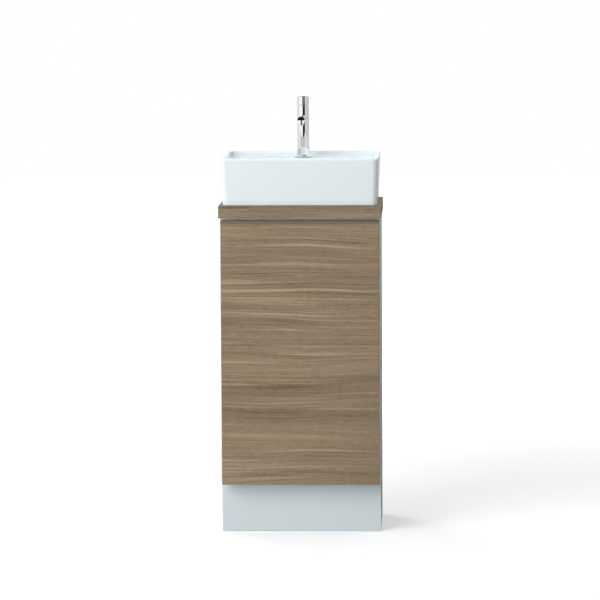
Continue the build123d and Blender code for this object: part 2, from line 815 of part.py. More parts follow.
def arm_screws():
    """Screws that tie the arms to their plates."""
    return [Pos(-inner_x + plate_thickness + arm_thickness, arm_screw_y(), z) * Rot(0, 90, 0) * arm_screw()
            for z in hinge_heights]


def plate_screw():
    """Low-headed screw through a mounting plate into the side panel."""
    radius = small_head_dia / 2
    shank = small_screw_dia / 2
    depth = plate_thickness + plate_screw_grip
    return turned(((0, plate_head), (radius - low_head_bevel, plate_head), (radius, 0), (shank, 0),
                   (shank, -depth), (0, -depth)))


def arm_screw():
    """Screw through arm and plate."""
    radius = small_head_dia / 2
    depth = plate_thickness + arm_thickness
    return turned(((0, small_head), (radius - low_head_bevel, small_head), (radius, arm_head_edge),
                   (radius, 0), (small_screw_dia / 2, 0), (small_screw_dia / 2, -depth), (0, -depth)))


def latch_z():
    """Axis of the latch plunger, under the front rail."""
    return rail_bottom_z - latch_height / 2


def latch_housing():
    """Plastic latch body under the front rail, bored for the plunger, with an ear at each side."""
    y0 = carcass_front_y + latch_setback
    body = board(latch_x - latch_width / 2, latch_x + latch_width / 2, y0, y0 + latch_length,
                 rail_bottom_z - latch_height, rail_bottom_z)
    body = fillet(body.edges().filter_by(Axis.Y).group_by(Axis.Z)[0], latch_corner)
    half = latch_width / 2 + latch_ear
    middle = y0 + latch_length / 2
    ears = board(latch_x - half, latch_x + half, middle - latch_ear, middle + latch_ear,
                 rail_bottom_z - latch_ear_thickness, rail_bottom_z)
    ears = fillet(ears.edges().filter_by(Axis.Z), latch_ear / 2)
    body += ears
    body -= rod_y(plunger_dia / 2 + plunger_fit, y0, y0 + latch_length - latch_wall, latch_x, latch_z())
    for x in latch_screw_places():
        body -= rod(small_screw_dia / 2 + fit, rail_bottom_z - latch_ear_thickness, rail_bottom_z, x, middle)
    return body


def latch_screw_places():
    """The latch's two screws, as X values."""
    offset = latch_width / 2 + latch_ear / 2
    return (latch_x - offset, latch_x + offset)


def latch_screws():
    """Screws through the ears of the latch."""
    y = carcass_front_y + latch_setback + latch_length / 2
    z = rail_bottom_z - latch_ear_thickness
    return [Pos(x, y, z) * pan_screw(latch_ear_thickness + latch_screw_grip) for x in latch_screw_places()]


def plunger_tip_y():
    """Face of the plunger, just clear of the strike plate."""
    return door_back_y + strike_thickness + touch_clearance


def latch_plunger():
    """Plunger with a capped head, cupped for its magnet."""
    tip = plunger_tip_y()
    end = carcass_front_y + latch_setback + latch_length - latch_wall - touch_clearance
    body = rod_y(plunger_dia / 2, tip, end, latch_x, latch_z())
    body += rod_y(plunger_cap_dia / 2, tip, tip + plunger_cap, latch_x, latch_z())
    return body - rod_y(magnet_dia / 2, tip, tip + magnet_depth, latch_x, latch_z())


def latch_magnet():
    """Disc magnet in the plunger's head."""
    tip = plunger_tip_y()
    return rod_y(magnet_dia / 2 - hinge_fit, tip, tip + magnet_depth, latch_x, latch_z())


def strike_plate():
    """Steel disc on the back of the door that the magnet holds."""
    disc = rod_y(strike_dia / 2, door_back_y, door_back_y + strike_thickness, latch_x, latch_z())
    return disc - rod_y(small_screw_dia / 2 + fit, door_back_y, door_back_y + strike_thickness, latch_x,
                        latch_z())


def strike_screw():
    """Flush screw through the strike plate into the door."""
    front = door_back_y + strike_thickness
    return rod_y(small_screw_dia / 2, front - strike_screw_length, front, latch_x, latch_z())


def tap_gasket():
    """Rubber ring under the foot ring."""
    outer = foot_ring_dia / 2 - tap_gasket_inset
    return tube(outer, tap_shank_dia / 2 + fit, deck_z, deck_z + tap_gasket_thickness, 0, tap_y)


def foot_top_z():
    """Top of the foot ring, where the column stands."""
    return deck_z + tap_gasket_thickness + foot_ring_height


def tap_foot_ring():
    """Chromed ring with a rounded shoulder."""
    z0 = deck_z + tap_gasket_thickness
    outer = foot_ring_dia / 2
    ring = tube(outer, tap_shank_dia / 2 + fit, z0, foot_top_z(), 0, tap_y)
    shoulder = ring.edges().filter_by(GeomType.CIRCLE).sort_by(Axis.Z)[-2:].sort_by(SortBy.RADIUS)[-1]
    return fillet(shoulder, foot_ring_round)


def tap_body():
    """Column and threaded shank, bored for the water and for the cartridge."""
    radius = tap_dia / 2
    shank = tap_shank_dia / 2
    top = knob_bottom_z
    foot = foot_top_z()
    column = turned(((0, shank_end_z()), (shank, shank_end_z()), (shank, foot), (radius - column_bevel, foot),
                     (radius, foot + column_bevel), (radius, top), (0, top)), 0, tap_y)
    column -= rod(tap_bore_dia / 2, shank_end_z(), top, 0, tap_y)
    column -= rod(cartridge_dia / 2 + cartridge_fit, cartridge_seat_z(), top, 0, tap_y)
    return column - rod_y(spout_spigot_dia / 2 + hinge_fit, tap_y - tap_dia, tap_y, 0, spout_z)


def cartridge_seat_z():
    """Bottom of the cartridge."""
    return knob_bottom_z - cartridge_nut_length - cartridge_length


def tap_spout():
    """Straight spout: saddle and spigot at the column, tip bevelled back above its axis."""
    radius = spout_dia / 2
    bar = rod_y(radius, tip_y, tap_y, 0, spout_z) - rod(tap_dia / 2, spout_z - 2 * radius,
                                                        spout_z + 2 * radius, 0, tap_y)
    back = spout_dia * tan(radians(spout_bevel))
    wedge = Polygon((tip_y, spout_z), (tip_y + back, spout_z + spout_dia), (tip_y, spout_z + spout_dia),
                    align=None)
    bar -= Pos(-spout_dia, 0, 0) * extrude(Plane.YZ * wedge, 2 * spout_dia, dir=(1, 0, 0))
    bar += rod_y(spout_spigot_dia / 2, tap_y - tap_dia / 2 - spout_spigot_dia / 4,
                 tap_y - cartridge_dia / 2 - spigot_gap, 0, spout_z)
    nozzle_y = tip_y + nozzle_setback
    bar -= rod_y(spout_bore_dia / 2, nozzle_y, tap_y, 0, spout_z)
    return bar - rod(nozzle_dia / 2, spout_z - spout_dia, spout_z - radius + nozzle_seat, 0, nozzle_y)


def spout_nozzle():
    """Outlet nozzle under the tip, with its stream former."""
    nozzle_y = tip_y + nozzle_setback
    bottom = spout_z - spout_dia / 2 - nozzle_drop
    top = spout_z - spout_dia / 2 + nozzle_seat
    outer = nozzle_dia / 2
    inner = nozzle_bore_dia / 2
    ring = turned(((inner, bottom), (outer - nozzle_bevel, bottom), (outer, bottom + nozzle_bevel),
                   (outer, top), (inner, top)), 0, nozzle_y)
    bar = Box(2 * (inner + former_bite), former_bar, top - bottom - former_rise)
    for angle in (0, 90):
        ring += Pos(0, nozzle_y, (top + bottom + former_rise) / 2) * Rot(0, 0, angle) * bar
    return ring


def valve_cartridge():
    """Ceramic disc cartridge, bored from below and open towards the spout."""
    bottom = cartridge_seat_z()
    radius = cartridge_dia / 2
    body = rod(radius, bottom, bottom + cartridge_length, 0, tap_y)
    body -= rod(tap_bore_dia / 2, bottom, bottom + cartridge_length / 2, 0, tap_y)
    return body - rod(spindle_dia / 2 + spindle_fit, bottom + cartridge_length - spindle_seat,
                      bottom + cartridge_length, 0, tap_y)


def cartridge_nut():
    """Ring nut that holds the cartridge down."""
    bottom = knob_bottom_z - cartridge_nut_length
    return tube(cartridge_dia / 2, spindle_dia / 2 + fit, bottom, knob_bottom_z, 0, tap_y)


def spindle_bottom_z():
    """Lower end of the spindle, clear of the bottom of its seat."""
    return knob_bottom_z - cartridge_nut_length - spindle_seat + touch_clearance


def spindle_top_z():
    """Upper end of the spindle in the knob."""
    return knob_bottom_z + knob_height - 2 * knob_wall


def valve_spindle():
    """Spindle that turns the ceramic disc."""
    return rod(spindle_dia / 2, spindle_bottom_z(), spindle_top_z(), 0, tap_y)


def tap_knob():
    """Hollow knob with a bevelled top edge and a boss for the spindle."""
    z0 = knob_bottom_z + knob_gap
    z1 = knob_bottom_z + knob_height
    radius = tap_dia / 2
    knob = chamfer(rod(radius, z0, z1, 0, tap_y).edges().filter_by(GeomType.CIRCLE), knob_edge)
    knob -= tube(radius - knob_wall, knob_boss_dia / 2, z0, z1 - 2 * knob_wall, 0, tap_y)
    knob -= rod(spindle_dia / 2 + hinge_fit, z0, spindle_top_z(), 0, tap_y)
    return knob - rod_y(knob_screw_dia / 2, tap_y + spindle_dia / 2, tap_y + tap_dia, 0, knob_screw_z())


def knob_screw_z():
    """Height of the knob's set screw."""
    return knob_bottom_z + knob_height / 2


def knob_screw():
    """Set screw at the back of the knob."""
    return rod_y(knob_screw_dia / 2 - hinge_fit, tap_y + spindle_dia / 2 + hinge_fit,
                 tap_y + tap_dia / 2 - knob_wall / 2, 0, knob_screw_z())


def deck_under_z():
    """Underside of the tap deck."""
    return deck_z - basin_wall


def tap_washer():
    """Washer under the deck."""
    z1 = deck_under_z()
    return tube(tap_washer_dia / 2, tap_shank_dia / 2 + fit, z1 - tap_washer_thickness, z1, 0, tap_y)


def tap_locknut():
    """Nut that clamps the tap to the deck."""
    z1 = deck_under_z() - tap_washer_thickness
    return hex_nut(tap_nut_flats, tap_shank_dia / 2 + fit, z1 - tap_nut_height, z1, 0, tap_y)


def waste_ledge_z():
    """Seat of the waste flange, down in the drain hole."""
    return bowl_floor_z - waste_ledge_depth


def waste_end_z():
    """Lower end of the waste body."""
    return waste_ledge_z() - waste_body_length


def waste_body():
    """Waste fitting: flange low in the drain hole, crossed by a strainer, on a threaded tube."""
    outer = waste_pipe_dia / 2
    inner = outer - waste_pipe_wall
    z = waste_ledge_z()
    top = z + waste_flange_thickness
    edge = drain_hole_dia / 2 - waste_fit
    body = turned(((inner, waste_end_z()), (outer, waste_end_z()), (outer, z), (edge, z),
                   (edge, top - waste_flange_bevel), (edge - waste_flange_bevel, top), (inner, top)),
                  0, drain_y)
    for angle in (0, 90):
        bar = Box(2 * inner + waste_pipe_wall, strainer_bar, waste_flange_thickness)
        body += Pos(0, drain_y, z + waste_flange_thickness / 2) * Rot(0, 0, angle) * bar
    return body


def waste_seal():
    """Rubber ring under the drain boss."""
    z0 = boss_z - waste_seal_thickness
    return tube(waste_seal_dia / 2, waste_pipe_dia / 2 + fit, z0, boss_z, 0, drain_y)


def waste_locknut():
    """Nut that clamps the waste to the basin."""
    z1 = boss_z - waste_seal_thickness
    return hex_nut(waste_nut_flats, waste_pipe_dia / 2 + fit, z1 - waste_nut_height, z1, 0, drain_y)


def union_nut(z0, y, lower_bore, upper_bore):
    """Hand-tightened union nut with flutes round it and a step in its bore."""
    shape = rod(union_dia / 2, z0, z0 + union_height, 0, y)
    shape = chamfer(shape.edges().filter_by(GeomType.CIRCLE), union_bevel)
    groove = rod(flute_dia / 2, z0 + flute_end, z0 + union_height - flute_end, union_dia / 2 + flute_offset)
    for flute in range(union_flutes):
        shape -= Pos(0, y, 0) * Rot(0, 0, flute * 360 / union_flutes) * groove
    middle = z0 + union_height / 2
    return shape - rod(lower_bore, z0, middle, 0, y) - rod(upper_bore, middle, z0 + union_height, 0, y)


def trap_nuts():
    """Union nuts: waste to tail pipe, tail pipe to trap, trap to outlet pipe."""
    socket = socket_dia / 2 + fit
    pipe = waste_pipe_dia / 2 + fit
    sunk = union_height / 2
    return [union_nut(waste_end_z() - sunk, drain_y, pipe, pipe),
            union_nut(trap_in_z - sunk, drain_y, socket, pipe),
            union_nut(trap_out_z - sunk, drain_y + 2 * trap_bend_radius, socket, pipe)]


def tail_pipe():
    """Straight pipe from the waste down into the trap."""
    outer = waste_pipe_dia / 2
    return tube(outer, outer - waste_pipe_wall, trap_in_z - tail_insert, waste_end_z(), 0, drain_y)


def trap_bend():
    """U bend with a socket on each leg."""
    outer = waste_pipe_dia / 2
    far_y = drain_y + 2 * trap_bend_radius
    middle = (0, drain_y + trap_bend_radius, trap_bend_z - trap_bend_radius)
    route = ThreePointArc((0, drain_y, trap_bend_z), middle, (0, far_y, trap_bend_z))
    start = Plane((0, drain_y, trap_bend_z), x_dir=(1, 0, 0), z_dir=(0, 0, -1))
    bend = sweep(start * Circle(outer), path=route)
    hollow = sweep(start * Circle(outer - waste_pipe_wall), path=route)
    bend += rod(outer, trap_bend_z, trap_in_z - socket_length, 0, drain_y)
    hollow += rod(outer - waste_pipe_wall, trap_bend_z, trap_in_z - socket_length, 0, drain_y)
    bend += rod(socket_dia / 2, trap_in_z - socket_length - socket_step, trap_in_z, 0, drain_y)
    hollow += rod(outer + hinge_fit, trap_in_z - socket_length, trap_in_z, 0, drain_y)
    bend += rod(socket_dia / 2, trap_bend_z - socket_step, trap_out_z, 0, far_y)
    hollow += rod(outer + hinge_fit, trap_bend_z, trap_out_z, 0, far_y)
    return bend - hollow


def outlet_pipe():
    """Pipe from the trap up and back into the wall."""
    y = drain_y + 2 * trap_bend_radius
    z0 = trap_bend_z + pipe_stop
    route = FilletPolyline((0, y, z0), (0, y, outlet_z), (0, wall_y, outlet_z), radius=outlet_bend_radius)
    start = Plane((0, y, z0), x_dir=(1, 0, 0), z_dir=(0, 0, 1))
    outer = waste_pipe_dia / 2
    return sweep(start * (Circle(outer) - Circle(outer - waste_pipe_wall)), path=route)


def wall_plate(x, z, bore):
    """Domed plate that covers a pipe's hole in the wall."""
    edge = wall_plate_dia / 2
    depth = wall_plate_thickness
    shape = turned(((bore, 0), (edge, 0), (edge, wall_plate_edge), (wall_plate_crown_dia / 2, depth),
                    (bore, depth)))
    return Pos(x, wall_y, z) * Rot(90, 0, 0) * shape


def waste_wall_plate():
    """Cover plate of the waste pipe."""
    return wall_plate(0, outlet_z, waste_pipe_dia / 2 + fit)


def supply_wall_plate():
    """Cover plate of the supply."""
    return wall_plate(valve_x, valve_z, valve_inlet_dia / 2 + fit)


def shank_end_z():
    """Lower end of the tap's shank."""
    return deck_z - tap_shank_length


def valve_top_z():
    """Top of the stop valve's outlet."""
    return valve_z + valve_outlet_length


def supply_pipe():
    """Chromed copper pipe from the tap down and across to the stop valve."""
    high = counter_bottom_z - supply_drop
    route = FilletPolyline((0, supply_y, shank_end_z()), (0, supply_y, high),
                           (valve_x, supply_y, high - supply_offset), (valve_x, supply_y, valve_top_z()),
                           radius=supply_bend_radius)
    start = Plane((0, supply_y, shank_end_z()), x_dir=(1, 0, 0), z_dir=(0, 0, -1))
    outer = supply_pipe_dia / 2
    return sweep(start * (Circle(outer) - Circle(outer - supply_pipe_wall)), path=route)


def supply_nuts():
    """Nuts at the tap's shank and at the stop valve, stepped from thread to pipe."""
    pipe = supply_pipe_dia / 2 + fit
    half = supply_nut_height / 2
    nuts = []
    for x, joint_z, thread, above in ((0.0, shank_end_z(), tap_shank_dia, True),
                                      (valve_x, valve_top_z(), valve_outlet_dia, False)):
        flats = thread + 2 * supply_nut_wall
        nut = hex_nut(flats, pipe, joint_z - half, joint_z + half, x, supply_y)
        low = joint_z if above else joint_z - half
        nuts.append(nut - rod(thread / 2 + fit, low, low + half, x, supply_y))
    return nuts


def stop_valve_body():
    """Angle stop valve: inlet from the wall, outlet upwards, bonnet to the front."""
    body = Pos(valve_x, supply_y, valve_z) * Sphere(valve_body_dia / 2)
    body += rod(valve_outlet_dia / 2, valve_z, valve_top_z(), valve_x, supply_y)
    body += rod_y(valve_inlet_dia / 2, supply_y, wall_y, valve_x, valve_z)
    front = bonnet_y()
    bonnet = rod_y(valve_bonnet_dia / 2, front, supply_y, valve_x, valve_z)
    bonnet = chamfer(bonnet.edges().filter_by(GeomType.CIRCLE), valve_bonnet_bevel)
    body += bonnet
    body -= rod(supply_pipe_dia / 2 - supply_pipe_wall, valve_z, valve_top_z(), valve_x, supply_y)
    body -= rod_y(supply_pipe_dia / 2 - supply_pipe_wall, supply_y, wall_y, valve_x, valve_z)
    return body - rod_y(valve_stem_dia / 2 + valve_stem_fit, front, front + valve_stem_seat, valve_x, valve_z)


def bonnet_y():
    """Front face of the valve's bonnet."""
    return supply_y - valve_bonnet_length


def stop_valve_stem():
    """Stem that the handle turns."""
    front = bonnet_y()
    seat_end = front + valve_stem_seat - touch_clearance
    return rod_y(valve_stem_dia / 2, seat_end - valve_stem_length, seat_end, valve_x, valve_z)


def handle_back_y():
    """Back of the handle, clear of the bonnet."""
    return bonnet_y() - handle_gap


def stop_valve_handle():
    """Lobed handle on the stem."""
    outline = Circle(handle_hub_dia / 2)
    lobe = Pos((handle_dia - handle_lobe_dia) / 2, 0) * Circle(handle_lobe_dia / 2)
    for turn in range(handle_lobes):
        outline += Rot(0, 0, turn * 360 / handle_lobes) * lobe
    back = handle_back_y()
    plane = Plane((valve_x, back, valve_z), x_dir=(1, 0, 0), z_dir=(0, -1, 0))
    handle = plane * extrude(outline, handle_thickness)
    handle = chamfer(handle.faces().sort_by(Axis.Y)[0].edges(), handle_bevel)
    handle -= rod_y(valve_stem_dia / 2 + hinge_fit, stem_front_y(), back, valve_x, valve_z)
    return handle - rod_y(small_screw_dia / 2 + fit, back - handle_thickness, stem_front_y(), valve_x,
                          valve_z)


def stem_front_y():
    """Front end of the stem, inside the handle."""
    return bonnet_y() + valve_stem_seat - touch_clearance - valve_stem_length


def handle_screw():
    """Screw that holds the handle on its stem."""
    front = handle_back_y() - handle_thickness
    radius = small_head_dia / 2
    shank = small_screw_dia / 2
    depth = front - stem_front_y()
    shape = turned(((0, handle_head), (radius - low_head_bevel, handle_head), (radius, handle_head_edge),
                    (radius, 0), (shank, 0), (shank, depth), (0, depth)))
    return Pos(valve_x, front, valve_z) * Rot(90, 0, 0) * shape


single_pieces = {
    "basin": basin, "basin_seal": basin_seal, "counter": counter, "bottom_panel": bottom_panel,
    "back_panel": back_panel, "top_front_rail": top_front_rail, "wall_rail": wall_rail,
    "plinth_board": plinth_board, "shelf": shelf, "door_panel": door_panel,
    "latch_housing": latch_housing, "latch_plunger": latch_plunger, "latch_magnet": latch_magnet,
    "strike_plate": strike_plate, "strike_screw": strike_screw,
    "tap_gasket": tap_gasket, "tap_foot_ring": tap_foot_ring, "tap_body": tap_body,
    "tap_spout": tap_spout, "spout_nozzle": spout_nozzle, "valve_cartridge": valve_cartridge,
    "cartridge_nut": cartridge_nut, "valve_spindle": valve_spindle, "tap_knob": tap_knob,
    "knob_screw": knob_screw, "tap_washer": tap_washer, "tap_locknut": tap_locknut,
    "waste_body": waste_body, "waste_seal": waste_seal, "waste_locknut": waste_locknut,
    "tail_pipe": tail_pipe, "trap_bend": trap_bend, "outlet_pipe": outlet_pipe,
    "waste_wall_plate": waste_wall_plate, "supply_wall_plate": supply_wall_plate,
    "supply_pipe": supply_pipe, "stop_valve_body": stop_valve_body, "stop_valve_stem": stop_valve_stem,
    "stop_valve_handle": stop_valve_handle, "handle_screw": handle_screw,
}
grouped_pieces = {
    "foot_pads": foot_pads, "cam_locks": cam_locks, "cam_bolts": cam_bolts,
    "counter_screws": counter_screws, "counter_brackets": counter_brackets,
    "bracket_screws": bracket_screws, "shelf_pins": shelf_pins, "hinge_cups": hinge_cups,
    "hinge_pins": hinge_pins, "cup_screws": cup_screws, "hinge_arms": hinge_arms,
    "hinge_plates": hinge_plates, "plate_screws": plate_screws, "arm_screws": arm_screws,
    "latch_screws": latch_screws, "trap_nuts": trap_nuts, "supply_nuts": supply_nuts,
}

os.makedirs("parts", exist_ok=True)
for name, build in single_pieces.items():
    export_step(build(), f"parts/{name}.step")
for name, build in grouped_pieces.items():
    export_step(Compound(children=build()), f"parts/{name}.step")
for name, side in (("side_panel_left", -1), ("side_panel_right", 1)):
    export_step(side_panel(side), f"parts/{name}.step")
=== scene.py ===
# %% [markdown]
# # A compact vanity unit, finished in Blender
#
# The solid model of the unit arrives ready made: every board, pipe and screw stands at its real place and
# size, in metres, with X to the right, Y towards the wall and Z up. This lesson gives the unit its looks:
# the camera, a soft studio, the finishes, and the small pieces that only matter to the eye.

import json
import math

import bmesh
import bpy
from mathutils import Matrix, Vector


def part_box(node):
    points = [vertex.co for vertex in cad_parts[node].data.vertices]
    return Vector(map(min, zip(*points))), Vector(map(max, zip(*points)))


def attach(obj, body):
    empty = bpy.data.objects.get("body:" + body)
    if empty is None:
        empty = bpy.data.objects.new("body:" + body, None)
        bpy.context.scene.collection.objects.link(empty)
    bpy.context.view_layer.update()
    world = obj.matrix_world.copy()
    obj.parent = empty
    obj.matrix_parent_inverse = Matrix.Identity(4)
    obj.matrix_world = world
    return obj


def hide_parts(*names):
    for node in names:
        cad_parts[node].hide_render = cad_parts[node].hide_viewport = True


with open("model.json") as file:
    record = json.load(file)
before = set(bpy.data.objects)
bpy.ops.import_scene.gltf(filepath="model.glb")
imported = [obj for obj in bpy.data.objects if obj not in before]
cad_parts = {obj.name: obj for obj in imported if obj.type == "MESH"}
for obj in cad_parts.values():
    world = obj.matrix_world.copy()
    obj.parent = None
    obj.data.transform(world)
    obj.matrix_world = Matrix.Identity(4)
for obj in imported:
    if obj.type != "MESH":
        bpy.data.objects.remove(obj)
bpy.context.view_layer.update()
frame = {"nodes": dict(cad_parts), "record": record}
nodes = frame["nodes"]

# %% [markdown]
# ## The camera
#
# The photograph was taken from far away with a long lens, a little to the right of the unit and a little
# above the basin, looking slightly down. A camera is a place, three turns and a focal length. They were
# found by fitting the unit's straight edges to the picture, so they are written here as they came out.

# %% Camera
CAMERA_PLACE = (0.2845, -7.131, 1.258)
CAMERA_YAW = math.radians(2.325)
CAMERA_PITCH = math.radians(-5.965)
CAMERA_ROLL = math.radians(0.265)
CAMERA_LENS = 191.3


def camera_axes(yaw, pitch, roll):
    """Right, forward and up of the camera, turned about Z, then X, then its own line of sight."""
    turn = Matrix.Rotation(yaw, 3, "Z") @ Matrix.Rotation(pitch, 3, "X") @ Matrix.Rotation(roll, 3, "Y")
    return turn.col[0], turn.col[1], turn.col[2]


right, forward, up = camera_axes(CAMERA_YAW, CAMERA_PITCH, CAMERA_ROLL)
camera = bpy.data.objects.new("camera", bpy.data.cameras.new("camera"))
bpy.context.scene.collection.objects.link(camera)
camera.matrix_world = Matrix.Translation(CAMERA_PLACE) @ Matrix((right, up, -forward)).transposed().to_4x4()
camera.data.lens = CAMERA_LENS
camera.data.sensor_width = 36
camera.data.clip_end = 60
bpy.context.scene.camera = camera
print("camera looks along", tuple(round(v, 3) for v in forward))

# %% [markdown]
# ## A helper for shader sums
#
# A finish is a sum of many small patterns. Written as nodes it is long, so this class wraps one socket and
# lets Python's own operators add the Math nodes: `grain * 0.4 + 0.1` becomes two nodes. One method makes any
# other node from its type, its settings and the values or links of its sockets.

# %% Shader sums
class Sum:
    """A socket that can be added, multiplied and compared."""

    def __init__(self, finish, socket):
        self.finish = finish
        self.socket = socket

    def math(self, operation, *others):
        return self.finish.node("ShaderNodeMath", {"operation": operation}, self, *others)["Value"]

    def __add__(self, other):
        return self.math("ADD", other)

    def __mul__(self, other):
        return self.math("MULTIPLY", other)

    def __sub__(self, other):
        return self.math("SUBTRACT", other)

    def __rsub__(self, other):
        return self * -1 + other

    def __pow__(self, other):
        return self.math("POWER", other)

    def __gt__(self, other):
        return self.math("GREATER_THAN", other)

    def __lt__(self, other):
        return self.math("LESS_THAN", other)

    def size(self):
        return self.math("ABSOLUTE")

    def clamp(self):
        return self.math("MAXIMUM", 0.0).math("MINIMUM", 1.0)

    def step(self, low, high):
        """0 below low, 1 above high, smooth between."""
        made = self.finish.node("ShaderNodeMapRange", {"interpolation_type": "SMOOTHSTEP", "clamp": True},
                                self, low, high, 0.0, 1.0)
        return made["Result"]

    __radd__ = __add__
    __rmul__ = __mul__


class Finish:
    """A material with one Principled shader, built up by sums."""

    def __init__(self, name, **constants):
        self.material = bpy.data.materials.new(name)
        self.material.use_nodes = True
        self.tree = self.material.node_tree
        self.shader = next(n for n in self.tree.nodes if n.type == "BSDF_PRINCIPLED")
        for socket, value in constants.items():
            self.shader.inputs[socket.replace("_", " ")].default_value = value
        place = self.node("ShaderNodeTexCoord", {})["Object"]
        self.place = place
        parts = self.node("ShaderNodeSeparateXYZ", {}, place)
        self.x, self.y, self.z = parts["X"], parts["Y"], parts["Z"]

    def node(self, kind, settings, *values):
        """Any node: its settings first, then its sockets in order. Returns its outputs by name."""
        made = self.tree.nodes.new(kind)
        for name, value in settings.items():
            setattr(made, name, value)
        open_sockets = [s for s in made.inputs if s.enabled]
        for socket, value in zip(open_sockets, values):
            if isinstance(value, Sum):
                self.tree.links.new(value.socket, socket)
            elif value is not None:
                socket.default_value = value
        return {s.name: Sum(self, s) for s in made.outputs if s.enabled}

    def vector(self, x, y, z):
        return self.node("ShaderNodeCombineXYZ", {}, x, y, z)["Vector"]

    def noise(self, place, scale, detail=2.0, roughness=0.5):
        return self.node("ShaderNodeTexNoise", {}, place, scale, detail, roughness)["Fac"]

    def mix(self, factor, first, second):
        """A colour between two colours, which may be links or tuples."""
        made = self.tree.nodes.new("ShaderNodeMix")
        made.data_type = "RGBA"
        for socket, value in ((made.inputs[0], factor), (made.inputs[6], first), (made.inputs[7], second)):
            if isinstance(value, Sum):
                self.tree.links.new(value.socket, socket)
            else:
                socket.default_value = value
        return Sum(self, made.outputs[2])

    def feed(self, name, value):
        self.tree.links.new(value.socket, self.shader.inputs[name])

    def bump(self, height, distance, strength=1.0):
        made = self.tree.nodes.new("ShaderNodeBump")
        made.inputs["Strength"].default_value = strength
        made.inputs["Distance"].default_value = distance
        self.tree.links.new(height.socket, made.inputs["Height"])
        self.tree.links.new(made.outputs[0], self.shader.inputs["Normal"])


def colour(red, green, blue):
    """A linear colour from the 0 to 255 values a paint chart gives."""
    def linear(value):
        value = value / 255
        return value / 12.92 if value <= 0.04045 else ((value + 0.055) / 1.055) ** 2.4
    return (linear(red), linear(green), linear(blue), 1.0)


# %% [markdown]
# ## Wood grain
#
# The door and the counter are faced with a printed wood grain that runs sideways. Light streaks and fewer dark
# ones, a few millimetres apart and as long as the board is wide, lie over bands that hardly differ, and some
# stretches are calm. Fine threads and short flecks break them up. The door has no handle. A strip along its top is
# painted a little darker, as a painted shadow under the counter's overhang. Noise that is squeezed in height and
# stretched along X draws each of them, so one helper makes them all. The height is first bent by a slow noise, so
# that the lines drift and now and then meet at a flat angle, as they do on a real veneer.

# %% Wood finish
GRAIN_DARK = colour(83, 68, 52)
GRAIN_LIGHT = colour(185, 162, 137)
GRAIN_OLIVE = colour(181, 162, 130)
GRAIN_PORE = colour(104, 88, 70)
COUNTER_SHADOW_STRIP = 0.010          # depth of the painted shadow that the counter casts along the door's top


def grained(name, shift, level, corner, counter_shadow=0.0):
    """Wood grain along X, slid by shift so that no two boards match; level and darker on the end faces.

    The board's highest corner says where its ends and its top are; the last argument darkens a strip along the top,
    a painted shadow from the counter."""
    wood = Finish(name, Roughness=0.5, Specular_IOR_Level=0.25)
    drift = wood.noise(wood.vector(wood.x * 2.8 + shift, wood.y * 2.8, wood.z * 9.0), 1.0, 1.0)
    end = wood.x.size() > corner[0] - 0.0002
    height = wood.z + wood.y * (1.0 - end) + drift * 0.030

    def streaks(layer, along, across, detail=2.0):
        place = wood.vector(wood.x * along + shift, float(layer), height * across)
        return wood.noise(place, 1.0, detail, 0.6)

    bands = streaks(0, 0.9, 28.0)
    calm = streaks(7, 2.4, 13.0, 1.0).step(0.36, 0.56) * 0.6 + 0.4
    light = streaks(1, 1.9, 128.0).step(0.50, 0.70)
    fine = streaks(6, 2.4, 240.0).step(0.52, 0.72)
    dark = streaks(2, 3.0, 125.0).step(0.50, 0.80)
    threads = streaks(3, 8.0, 340.0)
    flecks = streaks(4, 55.0, 380.0)
    lines = light * 0.37 + fine * 0.24 - dark * 0.24 + (threads - 0.5) * 0.38
    tone = ((bands - 0.5) * 0.7 + calm * lines + (flecks - 0.5) * 0.45 + level).clamp()
    tint = streaks(5, 1.5, 28.0, 1.0).step(0.35, 0.65) * 0.6 + 0.1
    pale = wood.mix(tint, GRAIN_LIGHT, GRAIN_OLIVE)
    pores = wood.noise(wood.vector(wood.x * 40.0 + shift, wood.y * 300.0, height * 1500.0), 1.0, 1.0)
    face = wood.mix((1.0 - pores.step(0.3, 0.4)) * 0.4, wood.mix(tone, GRAIN_DARK, pale), GRAIN_PORE)
    # Painted shadow: a strip along the top is mixed towards the dark grain colour, where the counter overhangs the
    # door.
    painted_shadow = wood.z.step(corner[2] - COUNTER_SHADOW_STRIP, corner[2] - 0.5 * COUNTER_SHADOW_STRIP) * counter_shadow
    wood.feed("Base Color", wood.mix((end * 0.25 + painted_shadow).clamp(), face, GRAIN_DARK))
    wood.feed("Roughness", pores * 0.12 + 0.44)
    wood.bump(threads * 0.6 + pores * 0.4, 0.00005, 0.5)
    return wood.material


# The door's last value, 0.55, is the strength of its painted shadow under the counter.
door_finish = grained("door_grain", 3.7, 0.43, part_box("door_panel")[1], 0.55)
counter_finish = grained("counter_grain", 9.1, 0.345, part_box("counter")[1])
print("wood finishes:", door_finish.name, counter_finish.name)

# %% [markdown]
# ## Glazed ceramic
#
# Sanitary ware is white clay under a thick clear glaze. The clay is a cool white, the glaze is a mirror-smooth
# coat whose surface rolls very slightly, and that roll is what makes reflections look poured.

# %% Ceramic finish
def glazed(name):
    ceramic = Finish(name, Roughness=0.16, IOR=1.52, Coat_IOR=1.5, Coat_Roughness=0.03)
    cloud = ceramic.noise(ceramic.place, 9.0, 2.0)
    ceramic.feed("Base Color", ceramic.mix(cloud, colour(238, 247, 249), colour(241, 249, 251)))
    ceramic.feed("Coat Weight", cloud * 0.1 + 0.3)
    ceramic.bump(ceramic.noise(ceramic.place, 22.0, 1.0), 0.00012, 0.35)
    return ceramic.material


basin_finish = glazed("glaze")

# %% [markdown]
# ## Faced boards
#
# The cabinet is board with a white melamine face: a fine orange-peel skin with a soft sheen. The plinth has the
# same face in pale grey. Behind the pipes the thin back shows a duller face. One function serves them all.

